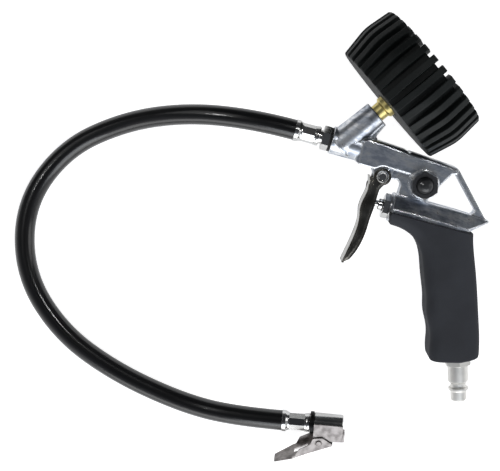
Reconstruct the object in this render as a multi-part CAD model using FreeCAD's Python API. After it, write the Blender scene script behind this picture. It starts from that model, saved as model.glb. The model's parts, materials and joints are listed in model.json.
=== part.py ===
import FreeCAD, Part
import math
import os

# A hand-held tire inflator: a cast gun with a trigger valve, a gauge in a ribbed rubber boot, and a
# short hose with a clip-on chuck. Sizes are millimetres and angles are degrees.
#
# The gun is drawn in its own plane: x to the right, y up, z out of its side, with the trigger's pivot
# as origin. It lies on its side on the floor, the gauge end lifted by the boot, so every gun piece is
# turned by LAY_TILT about x and moved to PIVOT_AT. The hose and the chuck lie on the floor beside it.

V = FreeCAD.Vector


def direction(angle):
    """The unit vector at an angle in the gun's plane."""
    return V(math.cos(math.radians(angle)), math.sin(math.radians(angle)), 0)


# How the gun lies
LAY_TILT = 9.5
PIVOT_AT = V(-5.45, 21.35, 34.14)

LAY = FreeCAD.Placement(PIVOT_AT, FreeCAD.Rotation(V(1, 0, 0), LAY_TILT))

# Directions in the gun's plane
BARREL_ANGLE = -15.0
GAUGE_ANGLE = 40.0
BARREL_DIR = direction(BARREL_ANGLE)
BARREL_UP = direction(BARREL_ANGLE + 90)
GAUGE_DIR = direction(GAUGE_ANGLE)
GAUGE_UP = direction(GAUGE_ANGLE + 90)
SIDE = V(0, 0, 1)

# Casting: barrel nose, gauge boss, side panel, web, strut and handle core
NOSE_AT = V(-30.2, 21.4, 0)
NOSE_R = 8.35
NOSE_LENGTH = 26.0
BOSS_AT = V(-3.5, 36.7, 0)
BOSS_R = 8.1
BOSS_LENGTH = 30.0
PANEL_HALF = 8.6
WEB_HALF = 5.0
STRUT_HALF = 4.2
STRUT_WIDTH = 3.0
LUG_R = 4.8
LUG_HALF = 6.0
TOP_BEVEL = 1.4
CORE_HALF = 10.5

# Valve in the barrel across the top of the grip: distances run back from the gland nut's front face
VALVE_AT = V(1.1, -17.9, 0)
VALVE_BARREL_R = 8.5
VALVE_FRONT = 4.7
VALVE_BORE_R = 5.0
VALVE_BORE_END = 48.5
GLAND_THREAD_R = 6.0
GLAND_THREAD_END = 15.0
GLAND_FLATS = 13.2
GLAND_HEX = 3.8
STEM_R = 2.0
STEM_TIP = -10.7
STEM_TRAVEL = 3.0
COLLAR_R = 3.5
COLLAR_FROM, COLLAR_TO = -2.9, -0.5
SEAT_FROM, SEAT_TO = 24.0, 27.0
PLUG_TO = 31.0

# Trigger: pressed sheet channel on a rivet
TRIGGER_SHEET = 1.2
TRIGGER_INNER = 6.25
RIVET_R = 2.0
RIVET_HEAD_R = 3.6
EAR_R = 5.2

# Grip
GRIP_HALF = 16.0

# Inlet: a nipple for a standard quick coupler, screwed into the foot of the handle
INLET_AT = V(48.7, -112.3, 0)
INLET_DIR = direction(-87.0)
INLET_THREAD_R = 6.0
INLET_THREAD = 10.0
INLET_BORE_R = 3.6
INLET_SEAL_R = 7.0
INLET_NECK_R = 4.95

# Bleed valve in the side of the casting
BLEED_AT = V(24.5, -4.6, 0)
BLEED_RING_R = 8.8
BLEED_RING_Z = 9.2
BLEED_FLATS = 15.0
BLEED_CAP_Z = 13.8
BLEED_BORE_R = 5.5

# Fitting at the nose: distances run forward from the nose's face
UNION_WASHER = 1.4
UNION_FLATS = 12.8
UNION_HEX_FROM = -5.9
GUN_FERRULE_END = 22.6
CRIMPS = 8
CRIMP_DEPTH = 0.55

# Gauge: distances run from the boss's end face, the dial's up is square to them in the gun's plane
BOOT_BACK = 8.1
BOOT_DEPTH = 36.2
BOOT_R = 43.5
BOOT_BACK_R = 39.9
BOOT_FRONT_R = 41.8
BOOT_RIBS = 32
BOOT_GROOVE_FLOOR = 3.3
BOOT_GROOVE_TOP = 4.8
BOOT_GROOVE_R = 38.4
BOOT_TOOTH = 2.8
CASE_BACK = 10.5
CASE_R = 36.2
BEZEL_BACK = 38.0
BEZEL_FRONT = 40.9
DIAL_BACK = 31.0
POINTER_REST = 135.0

# Gauge works: a pinion on the pointer's arbor and a sector of a 96 tooth gear
GEAR_MODULE = 0.35
PINION_TEETH = 12
SECTOR_TEETH_ROUND = 96
SECTOR_TEETH_BEHIND, SECTOR_TEETH_AHEAD = 11, 3
GEAR_PLAY = 0.12
PINION_PITCH_R = GEAR_MODULE * PINION_TEETH / 2
GEAR_CENTRES = GEAR_MODULE * (PINION_TEETH + SECTOR_TEETH_ROUND) / 2
PLATE_BACK, PLATE_FRONT = 16.1, 27.2
PINION_FROM, PINION_TO = 21.2, 24.8
SECTOR_FROM, SECTOR_THICK = 22.4, 1.2
ARBOR_R = 0.8
TAIL_AT = (-24.7, -3.0)
LINK_TIP = (-14.5, -15.5)
BOURDON_R = 25.0
BOURDON_FOOT = 145.0
BOURDON_SWEEP = 256.0

# Hose: it leaves the ferrule straight, comes down to the floor, and bends round to the chuck
HOSE_R = 6.2
HOSE_FIRST_RUN = 24.0
HOSE_CORNERS = [(-121.4, 59.4, 31.3), (-161.4, 55.5, 15.5), (-199.7, 39.0, 6.8), (-224.4, 4.7, 6.25),
                (-224.6, -38.3, 6.25), (-202.4, -74.6, 6.25), (-168.0, -99.8, 6.25), (-126.4, -118.8, 6.8),
                (-93.4, -126.1, 13.3), (-64.5, -128.4, 14.9)]

# Chuck: distances run from the hose's end, its lever leans down from level
CHUCK_LEAN = 18.5
CHUCK_BODY_FROM, CHUCK_BODY_TO = 19.7, 37.5
CHUCK_R = 6.6
CHUCK_BORE_R = 4.15
CHUCK_PIVOT = (23.4, 9.3)
CHUCK_PIN_R = 1.2
BRACKET_HALF = 7.4
WING_HALF = 8.5
THUMB_HALF = 3.0
JAW_HALF = 3.4

# Running gap round a shaft, and the clearance between pieces that only pass each other
RUNNING = 0.05
CLEAR = 0.3


def local(origin, along, up):
    """A placement whose x runs along one direction and whose y runs along another."""
    return FreeCAD.Placement(origin, FreeCAD.Rotation(along, up, along.cross(up), "XYZ"))


BARREL = local(NOSE_AT, BARREL_DIR, BARREL_UP)
VALVE = local(VALVE_AT, BARREL_DIR, BARREL_UP)
BOSS = local(BOSS_AT, GAUGE_DIR, GAUGE_UP)
INLET = local(INLET_AT, INLET_DIR, V(-INLET_DIR.y, INLET_DIR.x, 0))
BLEED = local(BLEED_AT, SIDE, V(0, 1, 0))
CHUCK_PIN = local(V(CHUCK_PIVOT[0], CHUCK_PIVOT[1], 0), SIDE, V(0, 1, 0))
PLAIN = FreeCAD.Placement()


def placed(shape, place):
    """The shape moved from local axes to the gun's."""
    moved = shape.copy()
    moved.Placement = place.multiply(shape.Placement)
    return moved


def outline(corners, z=0.0):
    """A closed wire of straight sides. A corner with a third number is rounded to that radius."""
    ends = []
    for index, corner in enumerate(corners):
        here = V(corner[0], corner[1], z)
        if len(corner) == 2:
            ends.append((here, None, here))
            continue
        before = corners[index - 1]
        after = corners[(index + 1) % len(corners)]
        back = (V(before[0], before[1], z) - here).normalize()
        on = (V(after[0], after[1], z) - here).normalize()
        half = back.getAngle(on) / 2
        reach = corner[2] / math.tan(half)
        depth = corner[2] / math.sin(half) - corner[2]
        ends.append((here + back * reach, here + (back + on).normalize() * depth, here + on * reach))
    edges = []
    for index, (start, middle, end) in enumerate(ends):
        if middle is not None:
            edges.append(Part.Arc(start, middle, end).toShape())
        following = ends[(index + 1) % len(ends)][0]
        if end.distanceToPoint(following) > 1e-6:
            edges.append(Part.LineSegment(end, following).toShape())
    return Part.Wire(edges)


def slab(corners, low, high):
    """An outline in the gun's plane, thickened from z = low to z = high."""
    return Part.Face(outline(corners, low)).extrude(V(0, 0, high - low))


def rod(radius, start, end, place=PLAIN):
    """A round rod on the local x axis."""
    return placed(Part.makeCylinder(radius, end - start, V(start, 0, 0), V(1, 0, 0)), place)


def tube(outer, inner, start, end, place=PLAIN):
    """A round tube on the local x axis."""
    return rod(outer, start, end, place).cut(rod(inner, start - 1, end + 1, place))


def turned(profile, place=PLAIN):
    """A profile of (along, radius) points turned about the local x axis."""
    points = [V(along, radius, 0) for along, radius in profile]
    face = Part.Face(Part.makePolygon(points + points[:1]))
    return placed(face.revolve(V(0, 0, 0), V(1, 0, 0), 360), place)


def hexagon(flats, start, end, place=PLAIN, turn=0.0):
    """A hexagonal prism on the local x axis. With no turn two corners lie on the local y axis."""
    radius = flats / math.sqrt(3)
    angles = [math.radians(turn + 60 * side) for side in range(6)]
    points = [V(start, radius * math.cos(a), radius * math.sin(a)) for a in angles]
    face = Part.Face(Part.makePolygon(points + points[:1]))
    return placed(face.extrude(V(end - start, 0, 0)), place)


def nut(flats, start, end, place=PLAIN, turn=0.0, ease=0.8):
    """A hexagon whose corners are turned off at both ends."""
    corner = flats / math.sqrt(3)
    round_off = turned([(start, 0), (start, corner - ease), (start + ease / 2, corner + 0.1),
                        (end - ease / 2, corner + 0.1), (end, corner - ease), (end, 0)], place)
    return hexagon(flats, start, end, place, turn).common(round_off)


def ring(radius, wire, along, place=PLAIN):
    """An O-ring round the local x axis."""
    return placed(Part.makeTorus(radius, wire, V(along, 0, 0), V(1, 0, 0)), place)


def edges_where(shape, test):
    """The edges between two corners that pass a test of their middle point and their length."""
    chosen = []
    for edge in shape.Edges:
        if len(edge.Vertexes) == 2 and test(edge.CenterOfMass, edge.Length):
            chosen.append(edge)
    return chosen


def fused(shapes):
    """One solid from shapes that overlap."""
    whole = shapes[0].fuse(shapes[1:]).removeSplitter()
    return whole


def body_panel():
    """The flat-sided part of the casting behind the nose, with a bevel along its top."""
    corners = [(-11.3, 21.6), (-5.7, 22.3), (44.4, 5.15), (45.3, 3.6), (44.3, 1.4, 1), (41.2, 1.5, 1.5),
               (33.6, -5.8), (30.0, -9.0), (16.4, -6.0), (16.4, 1.6), (4.5, 5.1), (-5.4, 5.2), (-14.3, 7.7)]
    panel = slab(corners, -PANEL_HALF, PANEL_HALF)

    def on_top(middle, length):
        return PANEL_HALF - abs(middle.z) < 0.01 and middle.y > 8 and length > 40

    top = edges_where(panel, on_top)
    return panel.makeChamfer(TOP_BEVEL, top)


def ridge_skirt():
    """The slope in front of the panel, from its ridge down to the round nose."""
    def section(upper, lower, half):
        corners = [(upper, half), (upper, -half), (lower, -half), (lower, half)]
        points = [V(p[0].x, p[0].y, p[1]) for p in corners]
        return Part.makePolygon(points + points[:1])
    at_ridge = section(V(-11.3, 21.6, 0), V(-14.3, 7.7, 0), PANEL_HALF)
    at_nose = section(V(-13.6, 21.5, 0), V(-16.6, 9.4, 0), 6.4)
    return Part.makeLoft([at_ridge, at_nose], True, True)


def gauge_boss():
    """The boss that the gauge screws into, squared off along its lower right side."""
    cone = placed(Part.makeCone(BOSS_R + 1.1, BOSS_R, BOSS_LENGTH, V(-BOSS_LENGTH, 0, 0), V(1, 0, 0)), BOSS)
    keel = slab([(-BOSS_LENGTH + 6, -BOSS_R), (0, -BOSS_R), (0, 0), (-BOSS_LENGTH + 6, 0)], -4.6, 4.6)
    fin = slab([(-8.0, 34.0), (-16.0, 20.0), (-2.0, 19.0, 3), (-4.9, 22.8, 4), (1.7, 30.5)], -4.6, 4.6)
    return cone, placed(keel, BOSS), fin


def valve_barrel_flange():
    """The collar over the grip: wide at the bottom, narrow at the top, drawn out to a tail."""
    def section(along, low, shoulder, high, wide, narrow):
        near = [(low, wide), (shoulder, wide), (high, narrow)]
        far = [(up, -side) for up, side in reversed(near)]
        points = [V(along, up, side) for up, side in near + far]
        return Part.makePolygon(points + points[:1])
    stations = [section(VALVE_FRONT, -1.9, 0.8, 8.5, 13.2, 6.8),
                section(24.0, -1.9, 1.0, 8.8, 14.2, 7.2),
                section(45.0, -2.1, 0.6, 8.5, 14.2, 6.8),
                section(52.0, -1.6, 0.6, 8.3, 12.5, 5.8),
                section(63.8, 6.3, 6.6, 7.4, 4.5, 4.2)]
    return placed(Part.makeLoft(stations, True, True), VALVE)


def rear_strut():
    """The slim strut from the end of the panel down to the tail."""
    top, foot = V(46.3, 3.0, 0), V(63.3, -27.6, 0)
    run = (foot - top).normalize()
    inward = V(run.y, -run.x, 0) * STRUT_WIDTH
    corners = [top - run * 1.0, foot - run * 1.5, foot - run * 1.5 + inward, top - run * 1.0 + inward]
    return slab([(c.x, c.y) for c in corners], -STRUT_HALF, STRUT_HALF)


def handle_core():
    """The cast handle inside the grip, which holds the air passage."""
    corners = [(17.0, -24.0), (20.0, -31.5, 6), (29.5, -44.0, 12), (33.0, -70.0, 20), (35.0, -96.0, 10),
               (35.6, -109.9, 2), (54.6, -109.9, 3), (53.8, -80.0, 40), (50.0, -48.0, 20), (49.0, -30.0)]
    core = slab(corners, -CORE_HALF, CORE_HALF)
    long_edges = [e for e in core.Edges if abs(abs(e.CenterOfMass.z) - CORE_HALF) < 0.01
                  and -105 < e.CenterOfMass.y < -36]
    return core.makeFillet(3.5, long_edges)


def casting_solid():
    """Everything that is metal in the casting, before its bores."""
    nose = rod(NOSE_R, 0, NOSE_LENGTH, BARREL)
    web = slab([(14.0, 4.0), (4.0, 7.0), (4.6, -1.6, 1), (9.2, -2.0, 1.5), (11.6, -5.4, 3), (10.6, -8.5, 3),
                (9.6, -12.0), (26.0, -16.5), (31.0, -9.5), (30.0, 2.0)], -WEB_HALF, WEB_HALF)
    lug = placed(Part.makeCylinder(LUG_R, 2 * LUG_HALF, V(0, 0, -LUG_HALF)), PLAIN)
    neck = slab([(-LUG_R, 0), (LUG_R, 0), (6.5, 4.0), (-6.5, 6.5)], -LUG_HALF, LUG_HALF)
    bleed_ring = rod(BLEED_RING_R, -PANEL_HALF - 0.2, BLEED_RING_Z, BLEED)
    corner = slab([(40.0, 1.4), (42.0, 4.5), (44.4, 5.1), (45.9, 3.7), (48.3, -0.4), (45.0, -0.6),
                   (44.0, 1.2, 1.5)], -STRUT_HALF, STRUT_HALF)
    heel = slab([(48.0, -24.0), (54.2, -23.4, 2), (57.0, -20.0), (61.3, -25.5), (52.0, -30.0)], -STRUT_HALF,
                STRUT_HALF)
    valve_barrel = rod(VALVE_BARREL_R, VALVE_FRONT, VALVE_BORE_END + 3, VALVE)
    pieces = [nose, body_panel(), ridge_skirt(), web, lug, neck, bleed_ring, corner, heel, valve_barrel,
              valve_barrel_flange(), rear_strut(), handle_core()]
    pieces.extend(gauge_boss())
    return fused(pieces)


def casting_bores():
    """What is cut from the casting: threads, passages, and the recess round the trigger's ears."""
    ahead_of_nose = placed(Part.makeBox(30, 60, 60, V(-30, -30, -30)), BARREL)
    behind_boss = placed(Part.makeBox(30, 60, 60, V(0, -30, -30)), BOSS)
    recess_above = Part.makeCylinder(EAR_R + 1.1, 10, V(0, 0, LUG_HALF))
    recess_below = Part.makeCylinder(EAR_R + 1.1, 10, V(0, 0, -LUG_HALF - 10))
    pivot_bore = Part.makeCylinder(RIVET_R, 40, V(0, 0, -20))
    nose_thread = rod(6.0, -1, 10.0, BARREL)
    barrel_passage = rod(2.5, 9.0, 60.0, BARREL)
    boss_thread = rod(5.0, -10.0, 1, BOSS)
    boss_passage = rod(2.0, -26.0, -9.0, BOSS)
    gland_thread = rod(GLAND_THREAD_R, 0, GLAND_THREAD_END, VALVE)
    valve_bore = rod(VALVE_BORE_R, 10.0, VALVE_BORE_END, VALVE)
    foot = VALVE.multVec(V(19.5, 0, 0))
    riser = Part.makeCylinder(2.2, 29.0, foot, BARREL_UP)
    bleed_thread = rod(BLEED_BORE_R, -1.0, 20.0, BLEED)
    bleed_chamber = rod(4.0, -6.6, 0.0, BLEED)
    inlet_thread = rod(INLET_THREAD_R, -INLET_THREAD, 5.0, INLET)
    inlet_passage = rod(INLET_BORE_R, -83.0, 0.0, INLET)
    return [ahead_of_nose, behind_boss, recess_above, recess_below, pivot_bore, nose_thread, barrel_passage,
            boss_thread, boss_passage, gland_thread, valve_bore, riser, bleed_thread, bleed_chamber,
            inlet_thread, inlet_passage]


def body_casting():
    return casting_solid().cut(casting_bores())


def trigger_lever():
    """A pressed channel: two ears behind a front web, whose top is free as a tongue."""
    front = [(-7.7, 0.0), (-10.7, -12.4), (-12.9, -17.8), (-13.5, -24.0), (-15.2, -31.6), (-19.4, -42.0),
             (-23.9, -51.8)]
    back = [(-19.2, -49.8), (-15.3, -45.0), (-11.4, -38.0), (-9.1, -31.9), (-7.0, -24.6), (-4.2, -16.6),
            (-3.0, -11.8), (-2.0, -8.4)]
    shape = [V(x, y, 0) for x, y in front]
    web_inside = [V(x + TRIGGER_SHEET * 1.05, y - 0.2, 0) for x, y in front]

    def smooth(points):
        curve = Part.BSplineCurve()
        curve.interpolate(points)
        return curve.toShape()

    def closed(front_line, back_line):
        sides = [smooth(front_line), Part.LineSegment(front_line[-1], back_line[0]).toShape(),
                 smooth(back_line), Part.LineSegment(back_line[-1], front_line[0]).toShape()]
        return Part.Face(Part.Wire(sides))

    outer = TRIGGER_INNER + TRIGGER_SHEET
    web = closed(shape, web_inside[::-1]).extrude(V(0, 0, 2 * outer)).translate(V(0, 0, -outer))
    ear_front = [V(-8.0, -4.4, 0), V(-9.8, -12.8, 0)] + shape[2:]
    ear = closed(ear_front, [V(x, y, 0) for x, y in back])
    top = slab([(-5.1, 0.6), (-6.0, -3.4), (-8.1, -4.2), (-9.0, -9.4), (-2.3, -9.4), (-1.8, -7.8, 1.5),
                (-0.2, -6.0, 2.5), (4.4, -2.0), (0, 0)], 0, TRIGGER_SHEET)
    plate = ear.extrude(V(0, 0, TRIGGER_SHEET)).fuse([top, Part.makeCylinder(EAR_R, TRIGGER_SHEET)])
    near = plate.copy().translate(V(0, 0, TRIGGER_INNER))
    far = plate.copy().translate(V(0, 0, -outer))
    lever = fused([web, near, far])
    bore = Part.makeCylinder(RIVET_R + RUNNING, 40, V(0, 0, -20))
    return lever.cut(bore)


def trigger_pivot_rivet():
    """The rivet: a shank with a domed head outside each ear."""
    face = TRIGGER_INNER + TRIGGER_SHEET + 0.1
    shank = [(-face - 1.2, 0), (-face - 1.2, RIVET_HEAD_R - 1.0), (-face - 0.5, RIVET_HEAD_R),
             (-face, RIVET_HEAD_R), (-face, RIVET_R), (face, RIVET_R), (face, RIVET_HEAD_R),
             (face + 0.6, RIVET_HEAD_R), (face + 1.1, RIVET_HEAD_R - 0.4), (face + 1.0, RIVET_HEAD_R - 1.0),
             (face + 0.6, RIVET_HEAD_R - 1.4), (face + 0.6, 0)]
    return turned(shank, local(V(0, 0, 0), SIDE, V(0, 1, 0)))


def valve_stem():
    """The rod that the trigger pushes: rounded tip, collar, and a neck through the seat to the plug."""
    profile = [(STEM_TIP, 0), (STEM_TIP, 1.1), (STEM_TIP + 0.9, STEM_R), (COLLAR_FROM, STEM_R),
               (COLLAR_FROM, COLLAR_R - 0.4), (COLLAR_FROM + 0.4, COLLAR_R), (COLLAR_TO, COLLAR_R),
               (COLLAR_TO, STEM_R), (18.0, STEM_R), (19.0, 1.5), (30.0, 1.5), (30.0, 0)]
    return turned(profile, VALVE)


def valve_gland_nut():
    """The nut that closes the valve barrel and guides the stem; the collar sinks into its face."""
    hexagonal = nut(GLAND_FLATS, 0, GLAND_HEX, VALVE)
    thread = rod(GLAND_THREAD_R - RUNNING, GLAND_HEX - 0.5, 14.4, VALVE)
    pocket = rod(COLLAR_R + 0.5, -1, STEM_TRAVEL + 0.4, VALVE)
    bore = rod(STEM_R + RUNNING, -1, 20, VALVE)
    seal_pocket = rod(3.8, 12.0, 20, VALVE)
    return hexagonal.fuse(thread).cut([pocket, bore, seal_pocket])


def gland_washer():
    return tube(7.2, GLAND_THREAD_R, GLAND_HEX, VALVE_FRONT, VALVE)


def stem_seal():
    return ring(2.9, 0.84, 13.2, VALVE)


def valve_seat():
    """The ring that the plug closes on, pressed into the valve barrel."""
    profile = [(SEAT_FROM, 2.2), (SEAT_TO, 2.2), (SEAT_TO, 2.9), (SEAT_TO - 0.6, 3.4),
               (SEAT_TO - 0.6, VALVE_BORE_R), (SEAT_FROM, VALVE_BORE_R)]
    return turned(profile, VALVE)


def valve_plug():
    """The rubber-faced plug on the stem's end, with a spigot that centres its spring."""
    profile = [(SEAT_TO + 0.05, 1.5), (SEAT_TO + 0.05, 4.3), (PLUG_TO, 4.3), (PLUG_TO, 2.1),
               (PLUG_TO + 3, 2.1), (PLUG_TO + 3, 0), (30.0, 0), (30.0, 1.5)]
    return turned(profile, VALVE)


def biarc(start, start_dir, end, end_dir):
    """Two arcs in space that join two points along their directions."""
    span = end - start
    both = start_dir + end_dir
    a = 2 * (1 - start_dir.dot(end_dir))
    b = 2 * span.dot(both)
    c = -span.dot(span)
    reach = (-b + math.sqrt(b * b - 4 * a * c)) / (2 * a) if a > 1e-9 else -c / b
    first, second = start + start_dir * reach, end - end_dir * reach
    joint = (first + second) * 0.5

    def arc(p, corner, q):
        chord_middle = (p + q) * 0.5
        toward = corner - chord_middle
        half = (p - corner).getAngle(q - corner) / 2
        radius = p.distanceToPoint(corner) * math.tan(half)
        depth = radius / math.sin(half) - radius
        middle = corner - toward.normalize() * depth
        return Part.Arc(p, middle, q).toShape()
    return [arc(start, first, joint), arc(joint, second, end)]


def coil(radius, wire, start, end, turns, place=PLAIN):
    """A coil spring of round wire on the local x axis; its end turns are as open as the rest."""
    steps = 4 * turns
    low, high = start + wire / 2, end - wire / 2
    pitch = (high - low) / turns
    slope = pitch / (2 * math.pi * radius)
    points, directions = [], []
    for step in range(steps + 1):
        angle = step * math.pi / 2
        points.append(V(low + pitch * step / 4, radius * math.cos(angle), radius * math.sin(angle)))
        directions.append(V(slope, -math.sin(angle), math.cos(angle)).normalize())
    path = []
    for step in range(steps):
        path.extend(biarc(points[step], directions[step], points[step + 1], directions[step + 1]))
    section = Part.Wire(Part.makeCircle(wire / 2, points[0], directions[0]))
    solid = Part.Wire(path).makePipeShell([section], True, False)
    print("coil: gap between turns", round(pitch - wire, 2), "volume", round(solid.Volume, 1), "expected",
          round(math.pi * wire ** 2 / 4 * turns * math.hypot(2 * math.pi * radius, pitch), 1))
    return placed(solid, place)


def valve_spring():
    return coil(3.2, 0.9, PLUG_TO, VALVE_BORE_END, 7, VALVE)


def grip_solid():
    """The outside of the grip: a beak under the trigger, a hollow for the finger, and a waisted back."""
    front = [(7.4, -29.2), (12.2, -31.2), (18.2, -35.6), (22.5, -42.0), (24.6, -50.0), (25.5, -59.0),
             (26.5, -67.0), (27.3, -74.0), (27.7, -84.0), (29.3, -91.0), (30.1, -97.0), (29.8, -104.0),
             (30.4, -111.7)]
    back = [(60.0, -107.6), (60.0, -98.0), (59.2, -86.0), (58.1, -72.0), (56.8, -58.0), (55.2, -45.0),
            (54.6, -38.5)]

    def smooth(points):
        curve = Part.BSplineCurve()
        curve.interpolate([V(x, y, 0) for x, y in points])
        return curve.toShape()

    def line(a, b):
        return Part.LineSegment(V(a[0], a[1], 0), V(b[0], b[1], 0)).toShape()

    foot = [(48.0, -112.1), (58.6, -109.9)]
    shoulder = [(54.6, -34.0), (5.2, -20.6), (4.0, -21.8), (4.6, -28.0)]
    underside = [front[-1]] + foot + [back[0]]
    top = [back[-1]] + shoulder + [front[0]]
    edges = [smooth(front)] + [line(a, b) for a, b in zip(underside, underside[1:])]
    edges += [smooth(back)] + [line(a, b) for a, b in zip(top, top[1:])]
    solid = Part.Face(Part.Wire(edges)).extrude(V(0, 0, 2 * GRIP_HALF)).translate(V(0, 0, -GRIP_HALF))
    return solid


def grip_sleeve():
    """The rubber sleeve over the cast handle."""
    solid = grip_solid()
    long_edges = edges_where(solid, lambda middle, length: GRIP_HALF - abs(middle.z) < 0.01 and length > 60)
    rounded = solid.makeFillet(7.0, long_edges)
    foot = edges_where(rounded, lambda middle, length: abs(middle.y + 111.5) < 2.2 and abs(middle.z) > 1)
    rounded = rounded.makeFillet(1.0, foot)
    valve_barrel = rod(VALVE_BARREL_R, 0, VALVE_BORE_END + 3, VALVE)
    inlet_opening = rod(INLET_SEAL_R + 0.1, -INLET_THREAD, 5.0, INLET)
    return rounded.cut([handle_core(), valve_barrel_flange(), valve_barrel, inlet_opening])


def inlet_plug():
    """The nipple: hexagon, body, neck, catching ring and tip of a standard quick coupler."""
    turned_part = turned([(-8.0, 0), (-8.0, 5.6), (-7.4, 5.95), (0.8, 5.95), (0.8, 6.25), (14.8, 6.25),
                          (16.4, 4.75), (19.0, 4.75), (19.0, 6.15), (20.3, 6.15), (21.4, INLET_NECK_R),
                          (26.5, INLET_NECK_R), (27.5, 4.0), (27.5, 0)], INLET)
    bore = turned([(-9, 0), (-9, 3.0), (17.0, 3.0), (28, 3.6), (28, 0)], INLET)
    return turned_part.fuse(nut(14.6, 0.8, 4.8, INLET, 30, 1.4)).cut(bore)


def inlet_seal():
    """The sealing ring between the casting's foot and the plug's hexagon."""
    return tube(INLET_SEAL_R, 5.98, -2.0, 0.78, INLET)


def bleed_cap():
    """The black hexagonal cap, with the well that its button sinks into."""
    cap = nut(BLEED_FLATS, BLEED_RING_Z, BLEED_CAP_Z, BLEED, 0, 1.0)
    thread = rod(BLEED_BORE_R - RUNNING, -0.6, BLEED_RING_Z + 0.4, BLEED)
    well = rod(5.25, 9.6, 20, BLEED)
    pocket = rod(3.9, 3.0, 20, BLEED)
    bore = rod(1.5 + RUNNING, -2, 5, BLEED)
    return cap.fuse(thread).cut([well, pocket, bore])


def bleed_button():
    """The domed button on its pin."""
    dome = [(12.0, 0), (12.0, 2.2), (11.8, 2.2), (11.8, 4.95), (14.0, 4.95), (15.3, 4.5), (16.4, 3.4),
            (17.1, 1.8), (17.3, 0)]
    pin = [(-3.6, 0), (-3.6, 1.5), (12.4, 1.5), (12.4, 0)]
    return turned(dome, BLEED).fuse(turned(pin, BLEED)).removeSplitter()


def bleed_spring():
    return coil(2.9, 0.6, 3.0, 11.8, 5, BLEED)


def bleed_seal():
    """The rubber disc on the pin's inner end, which closes the cap's lower face."""
    return tube(3.0, 1.5, -2.0, -0.65, BLEED)


def ferrule(start, end, flare_r, body_r, bead_r, bore_r, place):
    """A crimped sleeve: a flared mouth for the hose, eight pressed flats, and a bead at the other end."""
    way = 1 if end > start else -1
    length = abs(end - start)
    wall_end = length - 1.5

    def at(distance):
        return start + way * distance
    profile = [(at(0), 4.4), (at(0), flare_r), (at(2.2), flare_r), (at(3.6), body_r),
               (at(length - 2.4), body_r), (at(length - 1.6), bead_r), (at(length - 0.5), bead_r),
               (at(length), body_r), (at(length), bore_r), (at(wall_end), bore_r), (at(wall_end), 4.4)]
    sleeve = turned(profile)
    flats = []
    for side in range(CRIMPS):
        block = Part.makeBox(length - 7.6, 4, 6, V(min(at(4.4), at(length - 3.2)), body_r - CRIMP_DEPTH, -3))
        block.rotate(V(0, 0, 0), V(1, 0, 0), 360 / CRIMPS * (side + 0.5))
        flats.append(block)
    return placed(sleeve.cut(flats), place)


def barbed_tail(start, end, place):
    """The tail that the hose is pushed over, with ridges that hold it."""
    way = 1 if end > start else -1
    ridges = 4
    step = abs(end - start) / ridges
    profile = [(start, 0), (start, 2.9)]
    for ridge in range(ridges):
        profile.append((start + way * step * ridge, 2.9))
        profile.append((start + way * (step * (ridge + 0.75)), 3.3))
        profile.append((start + way * (step * (ridge + 0.8)), 2.9))
    profile.extend([(end, 2.9), (end, 0)])
    unique = [profile[0]]
    for point in profile[1:]:
        if math.dist(point, unique[-1]) > 1e-6:
            unique.append(point)
    return turned(unique, place)


def union_washer():
    return tube(7.2, 6.0, -UNION_WASHER, 0, BARREL)


def hose_union():
    """The fitting at the nose: thread, hexagon, neck and barbed tail, bored through."""
    hexagonal = nut(UNION_FLATS, UNION_HEX_FROM, -UNION_WASHER, BARREL)
    thread = rod(5.95, -UNION_WASHER - 0.5, 9.0, BARREL)
    neck = rod(4.3, -7.4, UNION_HEX_FROM + 0.5, BARREL)
    tail = barbed_tail(-20.6, -7.0, BARREL)
    return fused([hexagonal, thread, neck, tail]).cut(rod(2.0, -30, 10, BARREL))


def gun_ferrule():
    return ferrule(-GUN_FERRULE_END, -7.5, 6.6, 5.75, 5.95, 3.4, BARREL)


def gauge_socket():
    """The brass connector: thread, neck, shoulder, the stem into the case, and the tube's foot."""
    thread = rod(4.95, -9.6, 0.0, BOSS)
    shoulder = CASE_BACK - 0.1
    profile = [(0, 0), (0, 5.2), (4.6, 5.3), (5.4, 6.4), (5.8, 6.7), (shoulder, 6.7), (shoulder, 0)]
    neck = turned(profile, BOSS)
    stem = rod(5.9, CASE_BACK - 0.5, 16.0, BOSS)
    arm = Part.makeBox(3.6, 4.0, BOURDON_R + 2.0, V(12.0, -2.0, 0))
    arm.rotate(V(0, 0, 0), V(1, 0, 0), BOURDON_FOOT - 90)
    foot = Part.makeBox(11.0, 4.0, 5.4, V(14.8, -2.0, BOURDON_R - 2.7))
    foot.rotate(V(0, 0, 0), V(1, 0, 0), BOURDON_FOOT - 90)
    whole = fused([thread, neck, stem, placed(arm, BOSS), placed(foot, BOSS)])
    return whole.cut(rod(1.6, -12, 14.0, BOSS))


def boot_cutter(turn):
    """One groove of the boot: along its side, and over its front lip."""
    floor, top = BOOT_GROOVE_FLOOR / 2, BOOT_GROOVE_TOP / 2
    section = [(BOOT_GROOVE_R, -floor), (BOOT_R + 1, -top), (BOOT_R + 1, top), (BOOT_GROOVE_R, floor)]
    corners = [V(BOOT_BACK - 5, y, z) for y, z in section]
    side = Part.Face(Part.makePolygon(corners + corners[:1])).extrude(V(BOOT_DEPTH + 10, 0, 0))
    lip = Part.makeBox(10, 7, BOOT_GROOVE_FLOOR, V(BOOT_BACK + BOOT_DEPTH - BOOT_TOOTH, 32.0, -floor))
    cutter = side.fuse(lip)
    cutter.rotate(V(0, 0, 0), V(1, 0, 0), turn)
    return cutter


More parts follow.
